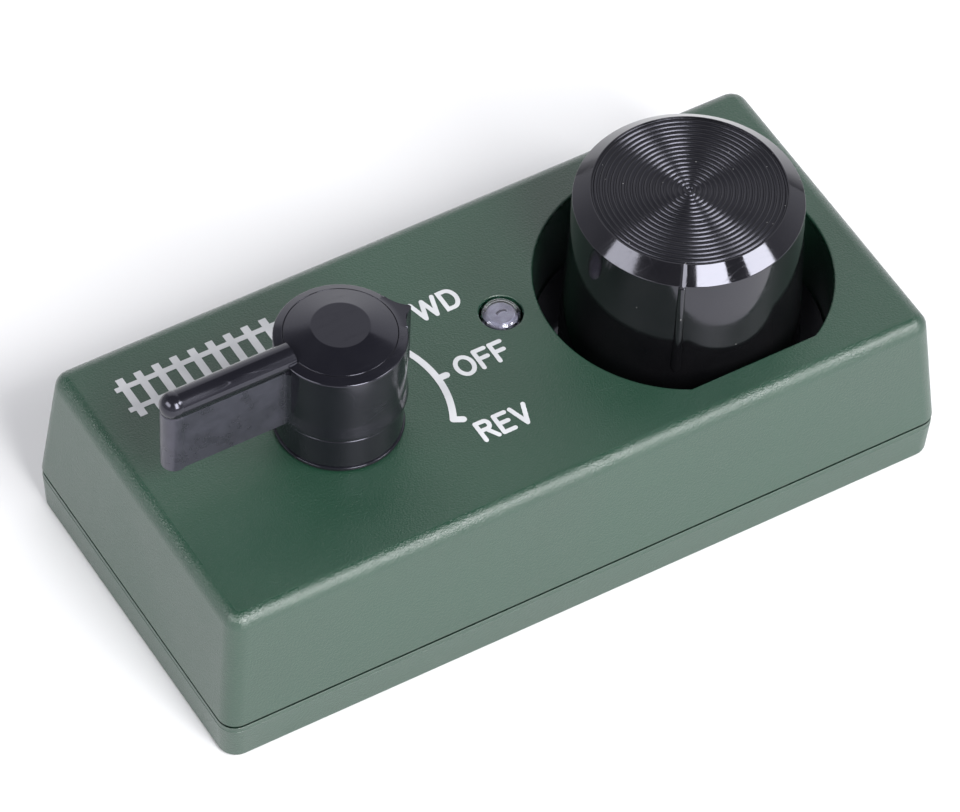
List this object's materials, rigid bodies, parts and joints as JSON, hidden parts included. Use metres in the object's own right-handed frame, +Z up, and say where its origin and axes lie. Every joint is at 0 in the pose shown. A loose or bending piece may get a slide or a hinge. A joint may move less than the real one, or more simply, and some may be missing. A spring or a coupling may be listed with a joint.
{
  "type": "train set controller",
  "caption": "Desk-top model railway speed controller: drafted green case, large black speed dial in a round well, swinging direction lever, power light.",
  "frame": {"origin": "centre of the bounding box's lowest face, on the surface that the rubber feet stand on", "axes": "+Z up, +X along the case from the direction lever to the speed dial, +Y towards the back, where the sockets are"},
  "size_m": [0.15, 0.0716, 0.062],
  "materials": {
    "case_green": "fine spark-eroded grain, satin on the edges",
    "black_gloss": "polished moulding",
    "black_turned": "concentric turned grooves about 1 mm apart",
    "rubber": "matte",
    "steel": "zinc plated",
    "brass": "bright",
    "aluminium": "extruded, satin",
    "clear_lens": "clear moulded",
    "circuit_board": "green solder mask",
    "phenolic": "brown laminate",
    "component_black": "moulded epoxy",
    "capacitor_sleeve": "shrunk sleeve",
    "socket_black": "moulded nylon"
  },
  "bodies": {
    "case": {"accessory_contact_1": "brass", "accessory_contact_2": "brass", "base_plate": "case_green", "board_screw_1": "steel", "board_screw_2": "steel", "board_screw_3": "steel", "board_screw_4": "steel", "bridge_rectifier": "component_black", "case_screw_1": "steel", "case_screw_2": "steel", "case_screw_3": "steel", "case_screw_4": "steel", "circuit_board": "circuit_board", "collar_clip": "steel", "contact_block": "socket_black", "control_chip": "component_black", "dc_jack": "socket_black", "dc_jack_pin": "steel", "filter_capacitor_1": "capacitor_sleeve", "filter_capacitor_2": "capacitor_sleeve", "heat_sink": "aluminium", "led_emitter": "clear_lens", "led_lead_1": "steel", "led_lead_2": "steel", "led_lens": "clear_lens", "lever_collar": "black_gloss", "overload_breaker": "brass", "pot_body": "steel", "pot_bushing": "brass", "pot_nut": "brass", "pot_terminal_card": "phenolic", "pot_washer": "steel", "power_transistor": "component_black", "rubber_foot_1": "rubber", "rubber_foot_2": "rubber", "rubber_foot_3": "rubber", "rubber_foot_4": "rubber", "sense_resistor": "phenolic", "switch_body": "component_black", "switch_card": "phenolic", "switch_terminal_1": "brass", "switch_terminal_2": "brass", "switch_terminal_3": "brass", "track_pin_1": "brass", "track_pin_2": "brass", "track_socket": "socket_black", "upper_housing": "case_green", "well_plate": "black_gloss"},
    "dial": {"speed_dial": "black_gloss", "dial_inlay": "black_turned", "pot_shaft": "aluminium", "dial_spring_clip": "steel", "pot_wiper": "brass"},
    "lever": {"direction_lever": "black_gloss", "lever_cap": "black_gloss", "switch_shaft": "brass", "switch_rotor": "phenolic"}
  },
  "joints": [
    {"name": "dial_turn", "type": "hinge", "parent": "case", "child": "dial", "pos_m": [0.039, -0.0019, 0.03], "axis": [0, 0, 1], "range_deg": [-290, 0]},
    {"name": "lever_turn", "type": "hinge", "parent": "case", "child": "lever", "pos_m": [-0.0333, -0.0019, 0.03], "axis": [0, 0, 1], "range_deg": [-28, 28]}
  ]
}
